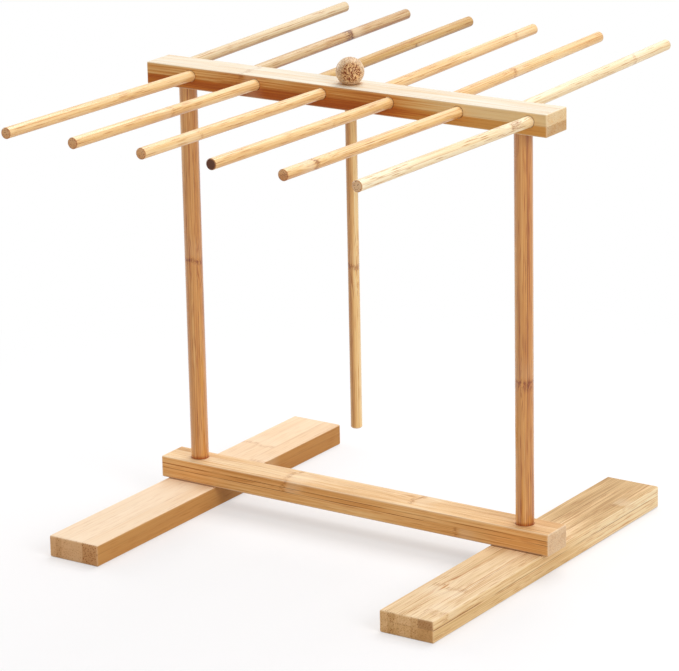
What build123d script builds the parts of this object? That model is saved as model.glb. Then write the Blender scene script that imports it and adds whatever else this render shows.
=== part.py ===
# Bamboo pasta drying rack with twelve pull out arms, a transfer wand and two swivelling feet.
# Millimetres. X runs along the top bar, -Y is the front, +Z is up.
# The origin lies on the table, midway between the two feet.

import os

from build123d import *

# Driving sizes of the arms and of the sockets that hold them
arms_per_side = 6
arm_pitch = 64.0
arm_diameter = 9.0
arm_reach = 240.0           # how far an arm stands out of the bar
arm_rise = 1.0              # degrees upwards, so that strands don't slide off the end
arm_end_chamfer = 0.6
arm_clearance = 0.1         # all round, so that an arm pulls out by hand
socket_depth = 22.0
socket_floor_gap = 0.3
socket_mouth_chamfer = 0.4
socket_drop = 7.3           # from the bar's top down to a socket's centre, at the bar's face
socket_wall = 2.0           # bamboo left between an upright and the socket beside it

# Driving sizes of the top bar
bar_overhang = 30.0         # past the axis of each upright
bar_width = 31.0
bar_thickness = 18.5
bar_arris = 1.0

# Driving sizes of the base rail
rail_overhang = 30.0
rail_width = 29.0
rail_thickness = 18.5
rail_arris = 1.0

# Driving sizes of the feet
foot_length = 355.0
foot_width = 49.0
foot_thickness = 18.5
foot_arris = 1.6

# Driving sizes of the uprights
upright_diameter = 15.0
upright_reach = 324.0       # clear height between the base rail and the top bar
bar_tenon_depth = 12.0
rail_tenon_depth = 12.0
upright_end_chamfer = 0.8
glue_line = 0.05            # all round a glued or screwed joint

# Driving sizes of the transfer wand
wand_diameter = 9.5
wand_tip_height = 53.9      # from the base rail's top up to the wand's lower end
wand_end_chamfer = 0.8
wand_play = 0.85            # all round, so that the wand drops in and lifts out
wand_mouth_chamfer = 0.7
ball_diameter = 23.0
ball_seat_gap = 0.2
ball_bore_past_centre = 1.5

# Driving sizes of the pivot screws and their washers
screw_diameter = 5.0
screw_bite = 28.0           # length held in the upright
screw_point_length = 5.0
screw_head_diameter = 10.0
screw_head_height = 2.6
screw_head_chamfer = 0.7
screw_head_recess = 0.6     # from the foot's underside up to the head
screw_drive_span = 5.2
screw_drive_slot = 1.1
screw_drive_depth = 1.5
screw_running_clearance = 0.05
washer_diameter = 13.0
washer_thickness = 1.2
washer_side_gap = 0.5
swivel_gap = 0.2            # above and below a foot, so that it turns

overrun = 1.0               # every cutter stands this far out of the face that it cuts

# Heights of the faces, from the table up
foot_top = foot_thickness
rail_bottom = foot_top + swivel_gap
rail_top = rail_bottom + rail_thickness
bar_bottom = rail_top + upright_reach
bar_top = bar_bottom + bar_thickness
socket_height = bar_top - socket_drop

# Places along X
upright_x = arm_pitch * (arms_per_side - 1) / 2
socket_shift = (upright_diameter + arm_diameter) / 2 + socket_wall
bar_length = 2 * (upright_x + bar_overhang)
rail_length = 2 * (upright_x + rail_overhang)

# Fits worked out from the pieces that meet
socket_diameter = arm_diameter + 2 * arm_clearance
wand_hole_diameter = wand_diameter + 2 * wand_play
wand_mouth_radius = wand_hole_diameter / 2 + wand_mouth_chamfer
ball_radius = ball_diameter / 2
ball_height = bar_top + ((ball_radius + ball_seat_gap) ** 2 - wand_mouth_radius ** 2) ** 0.5
wand_bottom = rail_top + wand_tip_height
wand_top = ball_height + ball_bore_past_centre
screw_head_top = screw_head_recess + screw_head_height
washer_top = screw_head_top + washer_thickness
foot_recess_depth = washer_top + swivel_gap
foot_recess_diameter = washer_diameter + 2 * washer_side_gap
upright_foot = rail_top - rail_tenon_depth
screw_tip = upright_foot + screw_bite

standing = (Align.CENTER, Align.CENTER, Align.MIN)
hanging = (Align.CENTER, Align.CENTER, Align.MAX)


def board(length_x, length_y, thickness, arris):
    """A planed board, standing on its underside, with every edge eased."""
    blank = Box(length_x, length_y, thickness, align=standing)
    return fillet(blank.edges(), arris)


def dowel(diameter, length, end_chamfer):
    """A round stick along +Z, with both ends eased."""
    stick = Cylinder(diameter / 2, length, align=standing)
    return chamfer(stick.edges().filter_by(GeomType.CIRCLE), end_chamfer)


def countersink(hole_diameter, size):
    """Cuts an eased mouth, 45 degrees, into a face at local zero whose hole goes down."""
    low, high = hole_diameter / 2, hole_diameter / 2 + size + overrun
    return Pos(0, 0, -size) * Cone(low, high, size + overrun, align=standing)


def arm_seat(side, index):
    """Where an arm leaves the bar: local zero is its socket's mouth and local +Z points out."""
    from_middle = (index - (arms_per_side - 1) / 2) * arm_pitch
    x = from_middle - side * socket_shift
    return Pos(x, side * bar_width / 2, socket_height) * Rot(-side * (90 - arm_rise), 0, 0)


def make_arm(side, index):
    inside = socket_depth - socket_floor_gap
    stick = dowel(arm_diameter, inside + arm_reach, arm_end_chamfer)
    return arm_seat(side, index) * Pos(0, 0, -inside) * stick


def arm_socket(side, index):
    bore = Pos(0, 0, overrun) * Cylinder(socket_diameter / 2, socket_depth + overrun, align=hanging)
    mouth = countersink(socket_diameter, socket_mouth_chamfer)
    return arm_seat(side, index) * (bore + mouth)


def make_top_bar():
    bar = Pos(0, 0, bar_bottom) * board(bar_length, bar_width, bar_thickness, bar_arris)
    for side in (-1, 1):
        for index in range(arms_per_side):
            bar -= arm_socket(side, index)
        tenon = Cylinder(upright_diameter / 2 + glue_line, bar_tenon_depth + overrun, align=standing)
        bar -= Pos(side * upright_x, 0, bar_bottom - overrun) * tenon
    bore = Cylinder(wand_hole_diameter / 2, bar_thickness + 2 * overrun, align=standing)
    mouth = countersink(wand_hole_diameter, wand_mouth_chamfer)
    bar -= Pos(0, 0, bar_bottom - overrun) * bore
    bar -= Pos(0, 0, bar_top) * mouth
    bar -= Pos(0, 0, bar_bottom) * Rot(180, 0, 0) * mouth
    return bar


def make_base_rail():
    rail = Pos(0, 0, rail_bottom) * board(rail_length, rail_width, rail_thickness, rail_arris)
    for side in (-1, 1):
        tenon = Cylinder(upright_diameter / 2 + glue_line, rail_tenon_depth + overrun, align=hanging)
        rail -= Pos(side * upright_x, 0, rail_top + overrun) * tenon
        bore = Cylinder(screw_diameter / 2 + glue_line, rail_thickness + overrun, align=standing)
        rail -= Pos(side * upright_x, 0, rail_bottom - overrun) * bore
    return rail


def make_upright(side):
    length = bar_bottom + bar_tenon_depth - upright_foot
    stick = dowel(upright_diameter, length, upright_end_chamfer)
    pilot_length = screw_bite + overrun
    stick -= Pos(0, 0, -overrun) * Cylinder(screw_diameter / 2 + glue_line, pilot_length, align=standing)
    return Pos(side * upright_x, 0, upright_foot) * stick


def make_foot(side):
    foot = board(foot_width, foot_length, foot_thickness, foot_arris)
    foot -= Pos(0, 0, -overrun) * Cylinder(
        screw_diameter / 2 + screw_running_clearance, foot_thickness + 2 * overrun, align=standing
    )
    foot -= Pos(0, 0, -overrun) * Cylinder(
        foot_recess_diameter / 2, foot_recess_depth + overrun, align=standing
    )
    return Pos(side * upright_x, 0, 0) * foot


def make_pivot_screw(side):
    head = Pos(0, 0, screw_head_recess) * Cylinder(screw_head_diameter / 2, screw_head_height, align=standing)
    head = chamfer(head.edges().group_by(Axis.Z)[0], screw_head_chamfer)
    for turn in (0, 90):
        slot = Box(screw_drive_span, screw_drive_slot, screw_drive_depth + overrun, align=standing)
        head -= Pos(0, 0, screw_head_recess - overrun) * Rot(0, 0, turn) * slot
    shank_length = screw_tip - screw_point_length - screw_head_top
    shank = Pos(0, 0, screw_head_top) * Cylinder(screw_diameter / 2, shank_length, align=standing)
    point = Pos(0, 0, screw_tip - screw_point_length) * Cone(
        screw_diameter / 2, screw_drive_slot / 2, screw_point_length, align=standing
    )
    return Pos(side * upright_x, 0, 0) * (head + shank + point)


def make_pivot_washer(side):
    ring = Cylinder(washer_diameter / 2, washer_thickness, align=standing)
    ring -= Cylinder(screw_diameter / 2 + glue_line, washer_thickness, align=standing)
    return Pos(side * upright_x, 0, screw_head_top) * ring


def make_wand_shaft():
    return Pos(0, 0, wand_bottom) * dowel(wand_diameter, wand_top - wand_bottom, wand_end_chamfer)


def make_wand_ball():
    bore = Cylinder(wand_diameter / 2 + glue_line, ball_radius + ball_bore_past_centre, align=hanging)
    return Pos(0, 0, ball_height) * (Sphere(ball_radius) - Pos(0, 0, ball_bore_past_centre) * bore)


def make_rack():
    """Every piece under the name of its node."""
    pieces = {
        "top_bar": make_top_bar(),
        "base_rail": make_base_rail(),
        "wand_shaft": make_wand_shaft(),
        "wand_ball": make_wand_ball(),
    }
    for hand, side in (("left", -1), ("right", 1)):
        pieces[hand + "_upright"] = make_upright(side)
        pieces[hand + "_foot"] = make_foot(side)
        pieces[hand + "_pivot_screw"] = make_pivot_screw(side)
        pieces[hand + "_pivot_washer"] = make_pivot_washer(side)
    for row, side in (("front", -1), ("back", 1)):
        for index in range(arms_per_side):
            pieces["{}_arm_{}".format(row, index + 1)] = make_arm(side, index)
    return pieces


os.makedirs("parts", exist_ok=True)
for name, piece in make_rack().items():
    piece.label = name
    export_step(piece, "parts/{}.step".format(name))

print("bar top at", bar_top, "bar length", bar_length, "socket shift", socket_shift)
print("ball centre at", round(ball_height, 3), "wand shaft length", round(wand_top - wand_bottom, 3))
print("pivot screw length", round(screw_tip - screw_head_top, 3))
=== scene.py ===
# Bamboo pasta drying rack: grain, knuckles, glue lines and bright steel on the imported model.
# Metres in the model, millimetres in every grain setting.
import math

import bpy
from mathutils import Matrix, Vector


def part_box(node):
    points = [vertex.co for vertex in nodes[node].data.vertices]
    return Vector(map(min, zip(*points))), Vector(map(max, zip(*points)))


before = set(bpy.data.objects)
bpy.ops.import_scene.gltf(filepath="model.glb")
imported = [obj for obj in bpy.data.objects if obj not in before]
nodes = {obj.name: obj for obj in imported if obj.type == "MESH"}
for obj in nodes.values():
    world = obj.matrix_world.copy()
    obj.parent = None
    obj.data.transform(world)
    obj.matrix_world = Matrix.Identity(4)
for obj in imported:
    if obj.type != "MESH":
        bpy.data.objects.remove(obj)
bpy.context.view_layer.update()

mm = 0.001
print("frame loaded:", len(nodes), "nodes")


def paint(red, green, blue):
    # a colour as a picture editor gives it, 0 to 255, turned into what a shader takes
    def straight(value):
        value /= 255
        return value / 12.92 if value <= 0.04045 else ((value + 0.055) / 1.055) ** 2.4
    return (straight(red), straight(green), straight(blue), 1.0)


class Wire:
    # a node's output that can stand in a sum
    def __init__(self, recipe, socket):
        self.recipe = recipe
        self.socket = socket

    def __getitem__(self, output):
        return Wire(self.recipe, self.socket.node.outputs[output])

    def maths(self, operation, *values):
        return self.recipe.node("ShaderNodeMath", {"operation": operation}, dict(enumerate(values)))

    def __add__(self, other):
        return self.maths("ADD", self, other)

    def __sub__(self, other):
        return self.maths("SUBTRACT", self, other)

    def __rsub__(self, other):
        return self.maths("SUBTRACT", other, self)

    def __mul__(self, other):
        return self.maths("MULTIPLY", self, other)

    def __truediv__(self, other):
        return self.maths("DIVIDE", self, other)

    def __pow__(self, other):
        return self.maths("POWER", self, other)

    def __gt__(self, other):
        return self.maths("GREATER_THAN", self, other)

    def __abs__(self):
        return self.maths("ABSOLUTE", self)

    def least(self, other):
        return self.maths("MINIMUM", self, other)

    def most(self, other):
        return self.maths("MAXIMUM", self, other)

    __radd__ = __add__
    __rmul__ = __mul__


class Recipe:
    # the nodes of one material or world, and the one way in which they are made
    def __init__(self, owner):
        self.owner = owner
        owner.use_nodes = True
        self.tree = owner.node_tree
        self.tree.nodes.clear()

    def node(self, kind, settings=None, sockets=None):
        made = self.tree.nodes.new(kind)
        for key, value in (settings or {}).items():
            if key == "stops":
                ramp = made.color_ramp
                while len(ramp.elements) < len(value):
                    ramp.elements.new(0.5)
                for element, (position, colour) in zip(ramp.elements, value):
                    element.position = position
                    element.color = colour
            else:
                setattr(made, key, value)
        for key, value in (sockets or {}).items():
            if isinstance(value, Wire):
                self.tree.links.new(value.socket, made.inputs[key])
            else:
                made.inputs[key].default_value = value
        return Wire(self, made.outputs[0]) if len(made.outputs) else None

    def vector(self, x, y, z):
        return self.node("ShaderNodeCombineXYZ", None, {0: x, 1: y, 2: z})

    def vectorMaths(self, operation, first, second):
        return self.node("ShaderNodeVectorMath", {"operation": operation}, {0: first, 1: second})

    def noise(self, place, scale, detail=2.0, roughness=0.5):
        return self.node("ShaderNodeTexNoise", None,
                         {"Vector": place, "Scale": scale, "Detail": detail, "Roughness": roughness})

    def smooth(self, value, low, high):
        return self.node("ShaderNodeMapRange", {"interpolation_type": "SMOOTHSTEP"},
                         {"Value": value, "From Min": low, "From Max": high})

    def within(self, value, low, high, soft=0.6):
        return self.smooth(value, low - soft, low + soft) * self.smooth(value, high + soft, high - soft)

    def mix(self, factor, first, second, blend="MIX"):
        return self.node("ShaderNodeMix", {"data_type": "RGBA", "blend_type": blend},
                         {0: factor, 6: first, 7: second})[2]

    def stain(self, factor, colour, tint):
        return self.mix(factor, colour, tint, "MULTIPLY")

    def lookedAt(self):
        # one for a ray that shows the stage to the eye, nought for a ray that carries its light
        path = self.node("ShaderNodeLightPath")
        return path["Is Camera Ray"].most(path["Is Glossy Ray"]).most(path["Is Transmission Ray"])

    def finish(self, colour, roughness, height, depth, constants):
        bump = self.node("ShaderNodeBump", None, {"Height": height, "Strength": 1.0, "Distance": depth})
        sockets = {"Base Color": colour, "Roughness": roughness, "Normal": bump}
        sockets.update(constants)
        shader = self.node("ShaderNodeBsdfPrincipled", None, sockets)
        self.node("ShaderNodeOutputMaterial", None, {"Surface": shader})
        return self.owner


def dress(name, material):
    piece = nodes[name]
    piece.data.materials.clear()
    piece.data.materials.append(material)


def joined(name):
    return name.title().replace("_", "")


# What all the bamboo shares. Widths, lengths and reaches are millimetres.
bambooHabit = {
    "endFacing": (0.6, 0.85), "wideFacing": (0.35, 0.75), "softEdge": 0.3,
    "fibre": {"width": 0.45, "length": 60.0, "detail": 2.0, "fineness": 0.6, "share": 0.8},
    "streak": {"width": 1.3, "length": 170.0, "detail": 3.0, "fineness": 0.6, "share": 0.6},
    "cloud": {"width": 12.0, "length": 120.0, "detail": 1.0, "fineness": 0.5, "share": 0.5},
    "hair": {"width": 0.85, "length": 160.0, "detail": 2.0, "fineness": 0.5, "range": (0.55, 0.7), "combShow": 0.25,
             "tint": paint(206, 146, 68)},
    # how far strips, layers and whole pieces are shifted through the grain, so that no two are alike
    "shuffle": {"strip": 1.7, "stripRuns": 57.0, "stripInwards": 6.1, "piece": 41.3, "pieceSideways": 0.37,
                "pieceInwards": 0.23},
    "vessel": {"scatter": 0.85, "ragged": 0.25, "range": (0.14, 0.36)},
    "worm": {"detail": 1.5, "fineness": 0.6},
    "knuckle": {"wander": 10.0, "wanderScale": 0.15, "wanderDetail": 0.6, "swerve": 15.0, "core": 0.2, "line": 1.1,
                "reach": 4.0, "strokeRise": 0.25, "strokeFall": (3.5, 0.5), "gritDetail": 2.0, "gritFineness": 0.6,
                "lineGritty": (0.36, 0.5), "pale": (6.0, 26.0), "paleFrom": 0.5, "paleEase": 2.0,
                "comb": (3.0, 40.0), "show": 0.85},
    "glue": {"halfWidth": (0.12, 0.42), "length": 45.0, "width": 3.0, "range": (0.3, 0.55), "endLoss": 0.8},
    "worn": {"colour": paint(252, 236, 208), "reach": (0.3, 1.7), "ragged": 2.0},
    "rim": (0.35, 1.0),
    "crossed": {"width": 1.0, "top": (8.2, 9.0)},
    "soiled": {"from": 1.4, "to": 0.2, "share": 0.95},
    "rough": {"fibre": 0.3, "vessel": 0.1, "lacquer": 0.12},
    "relief": {"fibre": 0.5, "streak": 0.4, "vessel": 0.5, "glue": 0.8, "depth": 0.00007},
}

# What a piece of bamboo has unless its own settings say otherwise
plainLook = {
    "drift": (), "rind": (), "strips": (), "layers": (), "knuckles": (), "bands": (), "endBlocks": (), "grime": (),
    "contrast": 1.0, "hairShow": 0.4, "glueTint": paint(158, 98, 34), "rub": 0.35, "roughness": 0.48, "gloss": 0.22,
    "vesselLength": 26.0, "vesselGap": 1.15, "vesselTint": paint(194, 138, 66), "vesselShow": 0.5,
    "endVesselShow": 0.8, "stroke": (3.6, 0.85), "gritty": (0.46, 0.57), "lineShow": 0.35, "paleShow": 0.3,
    "pinch": 0.0, "knuckleTint": paint(172, 108, 40),
}


def bamboo(name, ownLook):
    # the grain is solid: the same vessels run as lines along a side and end as dots in an end face
    recipe = Recipe(bpy.data.materials.new(name))
    habit, look = bambooHabit, {**plainLook, **ownLook}
    soft = habit["softEdge"]
    place = recipe.node("ShaderNodeTexCoord")
    along, across = Vector(look["along"]).normalized(), Vector(look["across"]).normalized()
    deep = along.cross(across)
    local = recipe.vectorMaths("SUBTRACT", place["Object"], Vector(look["origin"]))

    def measured(vector, axis):
        return recipe.vectorMaths("DOT_PRODUCT", vector, axis)["Value"]

    u, v, w = (measured(local, axis / mm) for axis in (along, across, deep))
    endFace = recipe.smooth(abs(measured(place["Normal"], along)), *habit["endFacing"])
    offEnd = 1.0 - endFace
    sideFace = (1.0 - recipe.smooth(abs(measured(place["Normal"], deep)), *habit["wideFacing"])) * offEnd

    tone = order = glue = 0.0
    for low, high, topChange, sideChange in look["drift"]:
        # the tone drifts lengthwise, on the wide faces and on the sides by their own amounts: mostly painted shade
        # and light, such as the feet's darker far tops, partly the boards' own tone
        change = (sideFace * (sideChange - topChange) + topChange) * offEnd
        tone = recipe.smooth(u, low, high) * change + tone
    for low, high, change in look["rind"]:
        # one side of a stick is darker across its width: painted shade, on the arms the underside
        tone = recipe.smooth(v, low, high) * change + tone

    # strips glued side by side, and layers glued on each other: each has its own tone and grain
    joint, shuffle = habit["glue"], habit["shuffle"]
    for coordinate, seams in ((v, look["strips"]), (w, look["layers"])):
        for number, (seam, change, show) in enumerate(seams):
            beyond = coordinate > seam
            tone = beyond * change + tone
            order = beyond * (shuffle["strip"] + number) + order
            seamLine = 1.0 - recipe.smooth(abs(coordinate - seam), *joint["halfWidth"])
            glue = (seamLine * show).most(glue)
    waver = recipe.noise(recipe.vector(u / joint["length"], v / joint["width"], w / joint["width"]), 1.0, 1.0)
    glue = glue * recipe.smooth(waver, *joint["range"]) * (1.0 - endFace * joint["endLoss"])

    # knuckles: a bowed row of short strokes along the fibres, a faint line through it, a paler patch behind it
    knot = habit["knuckle"]
    wander = recipe.noise(recipe.vector(v, w, order), knot["wanderScale"], knot["wanderDetail"]) - 0.5
    row = strokes = pale = comb = 0.0
    for knuckle in look["knuckles"]:
        away = (u + wander * knot["wander"] - knuckle["at"]) * knuckle.get("towards", 1)
        inside = knuckle.get("share", 1.0)
        for coordinate, key in ((v, "across"), (w, "deep")):
            if key in knuckle:
                inside = inside * recipe.within(coordinate, *knuckle[key])
        line = 1.0 - recipe.smooth(abs(away), knot["core"], knuckle.get("line", knot["line"]))
        row = (line * inside).most(row)
        reach = knuckle.get("reach", knot["reach"])
        stroke = recipe.smooth(away, -reach, -knot["strokeRise"] * reach) * recipe.smooth(away, *knot["strokeFall"])
        strokes = (stroke * inside).most(strokes)
        near, far = knot["pale"]
        patch = recipe.smooth(away, knot["paleFrom"], near) * recipe.smooth(away, far, near + knot["paleEase"])
        pale = (patch * inside).most(pale)
        comb = ((1.0 - recipe.smooth(abs(away), *knot["comb"])) * inside).most(comb)
    swerve = wander * comb * comb * knot["swerve"]

    seed = look["seed"] * shuffle["piece"]
    runs = u + order * shuffle["stripRuns"] + seed
    sideways = v * (comb * look["pinch"] + 1.0) + swerve + seed * shuffle["pieceSideways"]
    inwards = w + order * shuffle["stripInwards"] + seed * shuffle["pieceInwards"]

    def strands(kind):
        size = habit[kind]
        grain = recipe.vector(runs / size["length"], sideways / size["width"], inwards / size["width"])
        return recipe.noise(grain, 1.0, size["detail"], size["fineness"])

    fibre, streak, cloud, hairs = (strands(kind) for kind in ("fibre", "streak", "cloud", "hair"))
    level = tone + 0.5
    for kind, strand in (("fibre", fibre), ("streak", streak), ("cloud", cloud)):
        level = (strand - 0.5) * (habit[kind]["share"] * look["contrast"]) + level
    colour = recipe.node("ShaderNodeValToRGB", {"stops": look["colours"]}, {0: level})
    hair = habit["hair"]
    hairShow = recipe.smooth(hairs, *hair["range"]) * (comb * hair["combShow"] + look["hairShow"])
    colour = recipe.stain(hairShow * offEnd, colour, hair["tint"])
    # the side faces are tinted warmer and darker than the wide faces: painted side shade with warm reflected light
    if "sideTint" in look:
        colour = recipe.stain(sideFace, colour, look["sideTint"])
    for low, high, tint in look["bands"]:
        # a darker band along the side faces, which the top face doesn't show: on the bar the lower layer's warmer
        # tone with painted shade under the arms, on the rail a painted shade line along the bottom edge
        colour = recipe.stain(recipe.within(w, low, high, soft) * sideFace, colour, tint)

    # end grain: browner, block by block, with the vessels cut across
    gap = look["vesselGap"]
    lattice = recipe.vector(runs / look["vesselLength"], sideways / gap, inwards / gap)
    if "worms" in look:
        worm = habit["worm"]
        vessel = recipe.smooth(recipe.noise(lattice, 1.0, worm["detail"], worm["fineness"]), *look["worms"])
    else:
        cut = habit["vessel"]
        cells = recipe.node("ShaderNodeTexVoronoi", {"feature": "F1"},
                            {"Vector": lattice, "Scale": 1.0, "Randomness": cut["scatter"]})
        vessel = 1.0 - recipe.smooth(cells["Distance"] + (fibre - 0.5) * cut["ragged"], *cut["range"])
    colour = recipe.stain(endFace, colour, look["endTint"])
    show = offEnd * look["vesselShow"] + endFace * look["endVesselShow"]
    for block in look["endBlocks"]:
        inside = recipe.within(v, *block["across"], soft) * endFace
        if "deep" in block:
            inside = inside * recipe.within(w, *block["deep"], soft)
        colour = recipe.stain(inside, colour, block["tint"])
        show = inside * block.get("vessels", 0.0) + show
    vesselTint = look["vesselTint"]
    if "endVesselTint" in look:
        vesselTint = recipe.mix(endFace, vesselTint, look["endVesselTint"])
    colour = recipe.stain(vessel * show, colour, vesselTint)
    colour = recipe.stain(glue, colour, look["glueTint"])
    worn = habit["worn"]
    if look["knuckles"]:
        strokeLength, strokeWidth = look["stroke"]
        grit = recipe.noise(recipe.vector(u / strokeLength, sideways / strokeWidth, inwards / strokeWidth), 1.0,
                            knot["gritDetail"], knot["gritFineness"])
        faintLine = recipe.smooth(grit, *knot["lineGritty"]) * row * look["lineShow"]
        marks = (recipe.smooth(grit, *look["gritty"]) * strokes).most(faintLine)
        colour = recipe.mix(pale * look["paleShow"], colour, worn["colour"])
        colour = recipe.stain(marks * offEnd * knot["show"], colour, look["knuckleTint"])

    low, high = look["ends"]
    toEnd = (u - low).least(high - u)
    if "radius" in look:
        edge = toEnd.most(look["radius"] - (v * v + w * w) ** 0.5)
    else:
        toSide, toFace = look["halfWidth"] - abs(v), look["halfDepth"] - abs(w)
        edge = toEnd.most(toSide).least(toEnd.most(toFace)).least(toSide.most(toFace))
    if "rimTint" in look:
        # a sawn end keeps a darker rim
        colour = recipe.stain(1.0 - recipe.smooth(edge, *habit["rim"]), colour, look["rimTint"])
    else:
        # eased edges are paler: edge wear with a painted highlight along the rounded arrises
        wornAndLitEdge = 1.0 - recipe.smooth(edge + (streak - 0.5) * worn["ragged"], *worn["reach"])
        colour = recipe.mix(wornAndLitEdge * look["rub"], colour, worn["colour"])
    if "crossed" in look:
        # painted contact shade: a dark line on the foot along the edges of the rail that lies across it
        reach, tint = look["crossed"]
        crossingShadeLine = recipe.within(abs(u), reach - habit["crossed"]["width"], reach, soft)
        colour = recipe.stain(crossingShadeLine * recipe.smooth(w, *habit["crossed"]["top"]), colour, tint)
    for x, y, z, (near, far), tint in look["grime"]:
        # painted contact shade round a joint between two pieces, and under the ball
        step = recipe.vectorMaths("DISTANCE", place["Object"], (x * mm, y * mm, z * mm))["Value"]
        colour = recipe.stain(1.0 - recipe.smooth(step, near * mm, far * mm), colour, tint)
    if "endHaze" in look:
        share, haze = look["endHaze"]
        colour = recipe.mix(endFace * share, colour, haze)
    if "endBrown" in look:
        # a darker end face, at the outer end only
        soiled = habit["soiled"]
        tip = recipe.smooth(u, high - soiled["from"], high - soiled["to"]) * endFace
        colour = recipe.mix(tip * soiled["share"], colour, look["endBrown"])
    if "mouths" in look:
        # drilled mouths are dark all round: painted shade of the gap and chamfer round each arm
        mouth = look["mouths"]
        fromFirst = u - ((v > 0.0) * (mouth["back"] - mouth["front"]) + mouth["front"])
        sideStep = fromFirst.maths("WRAP", fromFirst, mouth["pitch"] / 2, -mouth["pitch"] / 2)
        rise = w - mouth["height"]
        fromMouth = (sideStep * sideStep + rise * rise) ** 0.5
        colour = recipe.stain((1.0 - recipe.smooth(fromMouth, *mouth["fade"])) * sideFace, colour, mouth["tint"])

    rough, relief = habit["rough"], habit["relief"]
    roughness = (fibre - 0.5) * rough["fibre"] + vessel * rough["vessel"] + look["roughness"]
    height = fibre * relief["fibre"] + streak * relief["streak"] - vessel * relief["vessel"] - glue * relief["glue"]
    shine = {"Specular IOR Level": look["gloss"]}
    if "lacquer" in look:
        # sawn ends soak the lacquer up and stay matt
        shine.update({"Coat Weight": offEnd * look["lacquer"], "Coat Roughness": rough["lacquer"]})
    return recipe.finish(colour, roughness, height, relief["depth"], shine)


def middle(name):
    low, high = (Vector(corner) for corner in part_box(name))
    return (low + high) / 2, (high - low) / 2


def boardLook(name, lengthwise, settings):
    # grain frame of a board: along its length, across its width, deep through its thickness
    centre, half = middle(name)
    if lengthwise == "x":
        along, across, halfLength, halfWidth = (1, 0, 0), (0, 1, 0), half.x / mm, half.y / mm
    else:
        along, across, halfLength, halfWidth = (0, 1, 0), (-1, 0, 0), half.y / mm, half.x / mm
    return {"origin": centre, "along": along, "across": across, "ends": (-halfLength, halfLength),
            "halfWidth": halfWidth, "halfDepth": half.z / mm, **settings}


topBar = {
    "seed": 1,
    "colours": ((0.0, paint(184, 120, 60)), (0.2, paint(212, 160, 102)), (0.4, paint(234, 208, 169)),
                (0.62, paint(237, 226, 206)), (0.95, paint(241, 235, 221))),
    # the lower layer's warmer tone, partly painted shade under the arms
    "layers": ((0.1, 0.1, 0.15),), "bands": ((-10.0, -0.6, paint(232, 196, 142)),),
    "endBlocks": ({"across": (-20.0, 20.0), "deep": (-12.0, -0.6), "tint": paint(226, 215, 204), "vessels": 0.2},),
    # painted on the sides: warm shade and reflected light, darker towards the left, partly the board's own tone
    "sideTint": paint(255, 229, 184),
    "drift": ((115.0, 15.0, 0.0, -0.46), (-60.0, -170.0, 0.0, 0.16), (90.0, 140.0, 0.0, 0.16)),
    "endTint": paint(252, 236, 208), "vesselShow": 0.22, "vesselLength": 70.0, "endVesselShow": 0.5,
    "contrast": 1.1, "rub": 0.2,
    "knuckles": ({"at": -96.0, "share": 0.5},),
    # painted shade round each arm's socket
    "mouths": {"front": -146.0, "back": -174.0, "pitch": 64.0, "height": 1.95, "fade": (4.75, 5.3),
               "tint": paint(150, 96, 44)},
    # painted shadow of the ball on the bar's top
    "grime": ((0.0, 0.0, 379.0, (7.0, 12.0), paint(232, 206, 178)),),
}
dress("top_bar", bamboo("bambooTopBar", boardLook("top_bar", "x", topBar)))

baseRail = {
    "seed": 2,
    "colours": ((0.1, paint(190, 134, 74)), (0.42, paint(232, 188, 132)), (0.65, paint(247, 218, 176)),
                (0.95, paint(253, 238, 210))),
    "strips": ((5.1, -0.03, 0.25),),
    "layers": ((-0.4, 0.0, 0.8), (3.3, 0.02, 0.9)),
    # painted side shade on the sides; the top darkens towards the right end
    "sideTint": paint(255, 232, 196), "drift": ((60.0, 170.0, -0.18, 0.0),),
    # painted shade line along the bottom edge of the sides
    "bands": ((-12.0, -8.5, paint(176, 128, 82)),),
    "endTint": paint(250, 244, 238), "endHaze": (0.3, paint(214, 200, 184)), "vesselShow": 0.4, "endVesselShow": 0.9,
    "knuckles": ({"at": 56.0, "deep": (3.3, 10.0), "across": (-8.0, 15.0), "share": 0.8},
                 {"at": 104.0, "deep": (-10.0, -0.4), "share": 0.5},
                 {"at": -65.0, "deep": (-0.4, 10.0), "share": 0.6}),
    # painted contact shade on the rail round the foot of each upright
    "grime": tuple((x, 0.0, 37.2, (7.5, 8.3), paint(190, 146, 104)) for x in (-160.0, 160.0)),
}
dress("base_rail", bamboo("bambooBaseRail", boardLook("base_rail", "x", baseRail)))

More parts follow.
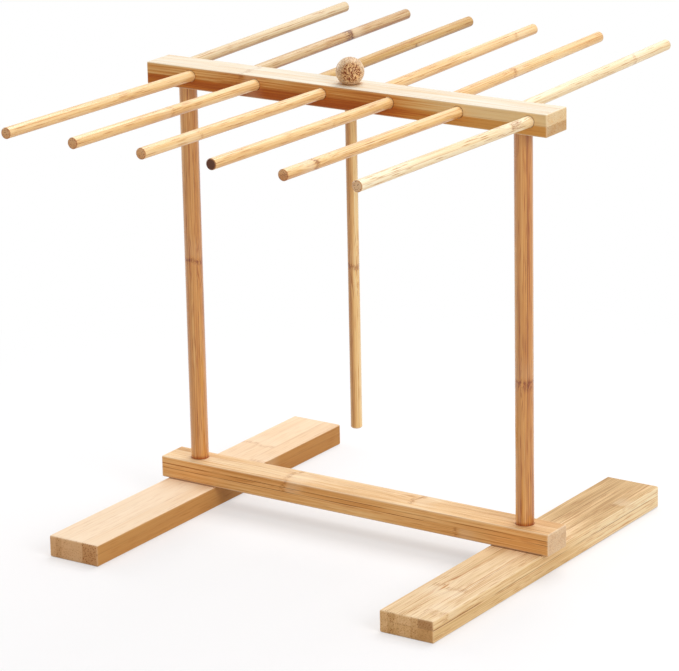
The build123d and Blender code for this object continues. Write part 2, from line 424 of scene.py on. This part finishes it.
# On a foot, across runs towards -X, so what lies at a positive place is on the foot's left
feet = {
    "right_foot": {
        "seed": 3, "hairShow": 0.65,
        "colours": ((0.1, paint(178, 138, 84)), (0.42, paint(228, 194, 144)), (0.65, paint(246, 218, 178)),
                    (0.95, paint(254, 240, 212))),
        "strips": ((-10.6, 0.04, 0.3), (6.0, -0.04, 0.2)),
        # painted shade on the far end's top, and painted light on its side
        "sideTint": paint(255, 252, 240), "drift": ((10.0, 90.0, -0.29, 0.3),),
        "endBlocks": ({"across": (-30.0, -10.6), "deep": (1.5, 12.0), "tint": paint(210, 196, 184)},
                      {"across": (-30.0, -10.6), "deep": (-12.0, 1.5), "tint": paint(236, 226, 212)},
                      {"across": (11.0, 17.0), "tint": paint(240, 236, 228), "vessels": 0.5},
                      {"across": (-10.6, -4.0), "tint": paint(242, 236, 228), "vessels": 0.4}),
        "knuckles": ({"at": -111.0, "across": (-14.0, 18.0), "deep": (2.2, 10.0), "towards": -1, "reach": 6.0,
                      "share": 0.85},
                     {"at": -158.0, "across": (-30.0, -6.0), "deep": (3.0, 10.0), "reach": 11.0, "share": 0.75},
                     {"at": 118.0, "across": (-30.0, -12.0), "deep": (4.0, 10.0), "share": 0.55},
                     {"at": 20.0, "across": (6.0, 25.0), "deep": (-10.0, 2.2)}),
    },
    "left_foot": {
        "seed": 4, "contrast": 0.45, "hairShow": 0.2, "vesselShow": 0.2,
        "colours": ((0.1, paint(204, 152, 104)), (0.42, paint(242, 210, 172)), (0.65, paint(252, 228, 198)),
                    (0.95, paint(255, 240, 220))),
        "strips": ((-9.0, 0.08, 0.2), (8.5, -0.03, 0.1)), "layers": ((1.4, 0.03, 0.2),),
        # painted shade: the sides darker, and the far end darker
        "sideTint": paint(208, 172, 116), "drift": ((0.0, 80.0, -0.13, -0.1),),
        "endTint": paint(236, 212, 184),
        "endBlocks": ({"across": (-30.0, -9.0), "tint": paint(234, 222, 206), "vessels": 1.6},
                      {"across": (12.0, 18.0), "tint": paint(242, 236, 228), "vessels": 0.4}),
        "knuckles": ({"at": 96.0, "across": (-9.0, 25.0), "deep": (2.2, 10.0), "share": 0.6},
                     {"at": -60.0, "across": (8.5, 25.0), "deep": (-10.0, 2.2), "share": 0.3},
                     {"at": 60.0, "across": (-25.0, -9.0), "share": 0.5}),
    },
}
footShared = {
    "layers": ((1.4, 0.03, 0.75),), "vesselGap": 1.6, "rub": 0.12, "paleShow": 0.35, "lineShow": 0.0,
    # painted contact shade along the edges of the rail
    "crossed": (15.1, paint(188, 140, 94)), "stroke": (8.0, 0.6), "gritty": (0.44, 0.68),
    "knuckleTint": paint(182, 132, 74), "glueTint": paint(140, 88, 32), "endTint": paint(248, 232, 212),
    "vesselShow": 0.45, "endVesselShow": 0.6,
}
for name, own in feet.items():
    dress(name, bamboo("bamboo" + joined(name), boardLook(name, "y", {**footShared, **own})))
print("boards dressed")

# Arms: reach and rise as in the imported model. Knuckles are given as distances from the bar's face.
armRise = math.radians(1.0)
armShared = {
    "radius": 4.5, "ends": (-21.7, 240.0),
    "vesselShow": 0.55, "endVesselShow": 1.0, "vesselGap": 1.5, "endTint": paint(250, 224, 208),
    "rimTint": paint(206, 168, 132), "endVesselTint": paint(140, 84, 54), "endHaze": (0.25, paint(204, 174, 146)),
    # painted shade on the arms' undersides
    "rind": ((2.0, -2.0, -0.14),),
    "contrast": 1.15, "roughness": 0.4, "gloss": 0.3, "lacquer": 0.35, "hairShow": 0.55,
}
armTones = {
    "cream": ((0.1, paint(218, 172, 110)), (0.38, paint(246, 222, 176)), (0.6, paint(252, 238, 204)),
              (0.95, paint(255, 248, 226))),
    "straw": ((0.1, paint(208, 150, 82)), (0.4, paint(236, 194, 132)), (0.62, paint(247, 214, 160)),
              (0.95, paint(253, 236, 200))),
    "olive": ((0.1, paint(168, 120, 54)), (0.4, paint(202, 159, 93)), (0.62, paint(215, 178, 117)),
              (0.95, paint(234, 208, 164))),
    "honey": ((0.1, paint(160, 104, 48)), (0.4, paint(198, 157, 105)), (0.62, paint(213, 180, 132)),
              (0.95, paint(230, 208, 172))),
    "ash": ((0.1, paint(184, 144, 92)), (0.4, paint(220, 194, 150)), (0.62, paint(232, 213, 178)),
            (0.95, paint(246, 234, 208))),
}
arms = {
    "front_arm_1": {"tone": "straw", "turn": 12},
    "front_arm_2": {"tone": "straw", "turn": -20, "knuckles": ({"at": 118.0, "share": 0.5},)},
    "front_arm_3": {"tone": "straw", "turn": 28, "knuckles": ({"at": 170.0, "share": 0.4},)},
    "front_arm_4": {"tone": "straw", "turn": -8, "knuckles": ({"at": 84.0, "share": 0.3},),
                    "endBrown": paint(84, 38, 20)},
    "front_arm_5": {"tone": "straw", "turn": 6, "knuckles": ({"at": 203.0, "reach": 5.0},),
                    "rind": ((2.5, -0.5, -0.26),), "pinch": 0.5, "lineShow": 0.6, "knuckleTint": paint(150, 92, 40)},
    "front_arm_6": {"tone": "cream", "turn": -29, "knuckles": ({"at": 31.0, "reach": 20.0, "across": (-3.0, 3.0)},),
                    "rind": (), "contrast": 1.1, "vesselShow": 0.8, "pinch": 1.3, "lineShow": 0.4,
                    "stroke": (9.0, 0.6), "gritty": (0.42, 0.58), "knuckleTint": paint(164, 100, 42)},
    # the back arms carry deeper painted shade on their undersides
    "back_arm_1": {"tone": "ash", "turn": 0, "knuckles": ({"at": 60.0, "share": 0.2},),
                   "rind": ((1.5, -3.0, -0.42),), "contrast": 0.8},
    "back_arm_2": {"tone": "honey", "turn": 4, "knuckles": ({"at": 147.0, "line": 3.6, "reach": 12.0},),
                   "rind": ((1.5, -3.0, -0.42),), "contrast": 1.7, "pinch": 0.4, "lineShow": 1.0,
                   "knuckleTint": paint(128, 60, 12)},
    "back_arm_3": {"tone": "olive", "turn": 20,
                   "knuckles": ({"at": 148.0, "reach": 3.0, "line": 1.5, "across": (-1.5, 1.5)},),
                   "rind": ((1.5, -2.0, -0.34),), "lineShow": 0.9, "knuckleTint": paint(90, 56, 30)},
    "back_arm_4": {"tone": "straw", "turn": -10, "knuckles": ({"at": 205.0, "share": 0.5},),
                   "rind": ((1.0, -4.0, -0.2),)},
    "back_arm_5": {"tone": "straw", "turn": 24, "knuckles": ({"at": 96.0, "share": 0.6},)},
    "back_arm_6": {"tone": "cream", "turn": -15, "knuckles": ({"at": 180.0, "share": 0.5},)},
}
firstArmSeed = 10
sidewards = Vector((1, 0, 0))
for number, (name, own) in enumerate(arms.items()):
    side = -1 if name.startswith("front") else 1
    along = Vector((0, side * math.cos(armRise), math.sin(armRise)))
    # the middle of the arm's box lies on its axis, and is taken back from there to the bar's face
    root = middle(name)[0] - along * (sum(armShared["ends"]) / 2 * mm)
    upwards = along.cross(sidewards) * -side
    turn = math.radians(own["turn"])
    look = {**armShared, **own, "seed": firstArmSeed + number, "origin": root, "along": along,
            "across": upwards * math.cos(turn) + sidewards * math.sin(turn), "colours": armTones[own["tone"]]}
    dress(name, bamboo("bambooArm" + str(number + 1), look))
print("arms dressed")

# Uprights and wand: warmer, laminated from strips whose seams run lengthwise
seamTurn = math.radians(34)
postShared = {
    "along": (0, 0, 1), "across": (math.cos(seamTurn), math.sin(seamTurn), 0),
    "colours": ((0.1, paint(160, 90, 32)), (0.4, paint(206, 140, 70)), (0.62, paint(227, 166, 90)),
                (0.95, paint(244, 206, 142))),
    "vesselShow": 0.6, "endVesselShow": 0.9, "endTint": paint(214, 186, 156), "contrast": 1.15,
    "roughness": 0.36, "gloss": 0.2, "rub": 0.3, "hairShow": 0.6, "lacquer": 1.0, "paleShow": 0.06, "lineShow": 0.8,
}
# their knuckles are given as heights above the table
posts = {
    "right_upright": {
        "seed": 31, "strips": ((-5.2, -0.03, 0.0), (-2.2, 0.04, 0.0), (-0.4, 0.01, 0.0), (2.2, -0.07, 0.8)),
        "knuckles": ({"z": 157.0, "reach": 9.0, "line": 1.6},),
        # painted contact shade at the foot of the upright
        "grime": ((160.0, 0.0, 36.0, (7.4, 9.0), paint(206, 152, 104)),)},
    "left_upright": {
        "seed": 32, "strips": ((-2.5, 0.08, 0.0), (2.4, -0.1, 0.2)), "knuckles": ({"z": 212.0},),
        # painted contact shade at the foot of the upright
        "grime": ((-160.0, 0.0, 36.0, (7.4, 9.0), paint(206, 152, 104)),)},
    "wand_shaft": {
        "seed": 33, "strips": ((1.2, 0.1, 0.0),), "rind": ((0.2, -3.0, -0.36),), "knuckles": ({"z": 230.0},),
        "colours": ((0.1, paint(198, 138, 68)), (0.4, paint(238, 188, 116)), (0.62, paint(250, 214, 150)),
                    (0.95, paint(254, 232, 186)))},
}
for name, own in posts.items():
    centre, half = middle(name)
    look = {**postShared, **own, "origin": centre, "radius": half.x / mm, "ends": (-half.z / mm, half.z / mm)}
    look["knuckles"] = [{**knuckle, "at": knuckle["z"] - centre.z / mm} for knuckle in own["knuckles"]]
    dress(name, bamboo("bamboo" + joined(name), look))

# The ball is turned across the stick's grain, so that its front and back are end grain.
# Its grain's ends and radius lie well outside it, since it has no eased edge.
ball = {
    **postShared, "seed": 41, "origin": middle("wand_ball")[0], "radius": 40.0, "ends": (-40.0, 40.0),
    "along": (0.62, -0.78, 0.08), "across": (0.78, 0.62, 0),
    "colours": ((0.1, paint(200, 150, 98)), (0.4, paint(226, 192, 150)), (0.62, paint(238, 212, 176)),
                (0.95, paint(248, 232, 204))),
    "vesselTint": paint(134, 68, 24), "vesselGap": 0.85, "worms": (0.485, 0.54), "vesselShow": 0.35,
    "endVesselShow": 1.0, "endTint": paint(252, 232, 204), "rub": 0.0, "lacquer": 0.2,
    # painted shade under the ball, where it sits on the bar
    "grime": ((0.0, 0.0, 377.5, (2.0, 8.0), paint(130, 78, 44)),),
}
dress("wand_ball", bamboo("bambooBall", ball))
print("posts, wand and ball dressed")

# Steel sizes are metres
steel = {
    "colour": paint(206, 208, 212), "dull": paint(150, 152, 158), "dullRange": (0.35, 0.7),
    "blotch": {"size": 0.004, "detail": 3.0, "fineness": 0.6, "share": 0.3},
    "ring": {"pitch": 0.00035, "detail": 1.0, "share": 0.25}, "roughness": 0.3, "bumpDepth": 0.00002,
}


def zincSteel(name, centre):
    # bright zinc: cloudy, with fine rings left by the turning tool round the piece's own axis
    recipe = Recipe(bpy.data.materials.new(name))
    blotch, ring = steel["blotch"], steel["ring"]
    local = recipe.vectorMaths("SUBTRACT", recipe.node("ShaderNodeTexCoord")["Object"], centre)
    split = recipe.node("ShaderNodeSeparateXYZ", None, {0: local})
    reach = (split["X"] * split["X"] + split["Y"] * split["Y"]) ** 0.5
    rings = recipe.noise(recipe.vector(reach / ring["pitch"], split["Z"] / ring["pitch"], 0.0), 1.0, ring["detail"])
    cloud = recipe.noise(local, 1 / blotch["size"], blotch["detail"], blotch["fineness"])
    colour = recipe.mix(recipe.smooth(cloud, *steel["dullRange"]), steel["colour"], steel["dull"])
    roughness = (rings - 0.5) * ring["share"] + (cloud - 0.5) * blotch["share"] + steel["roughness"]
    return recipe.finish(colour, roughness, rings, steel["bumpDepth"], {"Metallic": 1.0})


for hand in ("left", "right"):
    for part in ("pivot_screw", "pivot_washer"):
        name = hand + "_" + part
        dress(name, zincSteel("zinc" + joined(name), middle(name)[0]))
print("steel dressed")

# Stage: one wide pale floor. To the camera it goes almost white, wholly so away from the rack, and keeps its shadows.
stage = {
    "size": 16.0, "drop": 0.0001, "seenColour": paint(249, 247, 248), "bounceColour": paint(206, 195, 178),
    "whiteNear": 0.46, "whiteFar": 1.0, "fade": (0.36, 1.0), "greyMiddle": (0.2, -0.3, 0.0), "glow": (1, 1, 1, 1),
}


def makeFloor():
    half, low = stage["size"] / 2, -stage["drop"]
    mesh = bpy.data.meshes.new("studioFloor")
    corners = [(-half, -half, low), (half, -half, low), (half, half, low), (-half, half, low)]
    mesh.from_pydata(corners, [], [(0, 1, 2, 3)])
    floor = bpy.data.objects.new("studioFloor", mesh)
    bpy.context.scene.collection.objects.link(floor)
    recipe = Recipe(bpy.data.materials.new("studioFloor"))
    seen = recipe.lookedAt()
    place = recipe.node("ShaderNodeTexCoord")["Object"]
    reach = recipe.vectorMaths("DISTANCE", place, stage["greyMiddle"])["Value"]
    white = recipe.smooth(reach, *stage["fade"]) * (stage["whiteFar"] - stage["whiteNear"]) + stage["whiteNear"]
    colour = recipe.mix(seen, stage["bounceColour"], stage["seenColour"])
    matt = recipe.node("ShaderNodeBsdfDiffuse", None, {"Color": colour})
    glow = recipe.node("ShaderNodeEmission", None, {"Color": stage["glow"], "Strength": 1.0})
    shader = recipe.node("ShaderNodeMixShader", None, {0: seen * white, 1: matt, 2: glow})
    recipe.node("ShaderNodeOutputMaterial", None, {"Surface": shader})
    mesh.materials.append(recipe.owner)


makeFloor()

lamps = {
    "overhead": {"at": (-0.1, 1.3, 2.5), "towards": (0, 0, 0.2), "size": 1.8, "watts": 41.0},
    "rightWindow": {"at": (2.4, -0.75, 1.5), "towards": (0, 0, 0.2), "size": 1.4, "watts": 30.0},
    "leftRim": {"at": (-2.5, 0.2, 0.9), "towards": (0, 0, 0.2), "size": 1.2, "watts": 16.0},
}
for name, lamp in lamps.items():
    light = bpy.data.lights.new(name, "AREA")
    light.shape = "SQUARE"
    light.size = lamp["size"]
    light.energy = lamp["watts"]
    holder = bpy.data.objects.new(name, light)
    bpy.context.scene.collection.objects.link(holder)
    holder.location = lamp["at"]
    aim = Vector(lamp["towards"]) - Vector(lamp["at"])
    holder.rotation_euler = aim.to_track_quat("-Z", "Y").to_euler()
    holder.visible_camera = False

sky = {"colour": (1, 1, 1, 1), "ambient": 0.5, "white": 1.0}
bpy.context.scene.world = bpy.data.worlds.new("studio")
air = Recipe(bpy.context.scene.world)
strength = air.lookedAt() * (sky["white"] - sky["ambient"]) + sky["ambient"]
backdrop = air.node("ShaderNodeBackground", None, {"Color": sky["colour"], "Strength": strength})
air.node("ShaderNodeOutputWorld", None, {"Surface": backdrop})
print("stage and lamps set")

# Camera: solved from the photograph's own perspective
view = {"target": (-0.01515, 0.0, 0.16725), "distance": 2.9109, "pitch": 17.2058, "yaw": -33.9247, "roll": -1.1558,
        "focalPixels": 3569.2, "imageWidth": 679, "sensor": 36.0, "clipFrom": 0.05, "clipTo": 60.0}
pitch, yaw, roll = (math.radians(view[key]) for key in ("pitch", "yaw", "roll"))
forward = Vector((math.sin(yaw) * math.cos(pitch), math.cos(yaw) * math.cos(pitch), -math.sin(pitch)))
level = Vector((math.cos(yaw), -math.sin(yaw), 0))
lift = level.cross(forward)
right = level * math.cos(roll) + lift * math.sin(roll)
upward = lift * math.cos(roll) - level * math.sin(roll)
eye = Vector(view["target"]) - forward * view["distance"]
camera = bpy.data.objects.new("camera", bpy.data.cameras.new("camera"))
bpy.context.scene.collection.objects.link(camera)
camera.data.sensor_width = view["sensor"]
camera.data.lens = view["focalPixels"] * view["sensor"] / view["imageWidth"]
camera.data.clip_start = view["clipFrom"]
camera.data.clip_end = view["clipTo"]
camera.matrix_world = Matrix.Translation(eye) @ Matrix((right, upward, -forward)).transposed().to_4x4()
bpy.context.scene.camera = camera
bpy.context.scene.view_settings.view_transform = "Standard"
print("camera set, lens", round(camera.data.lens, 2))
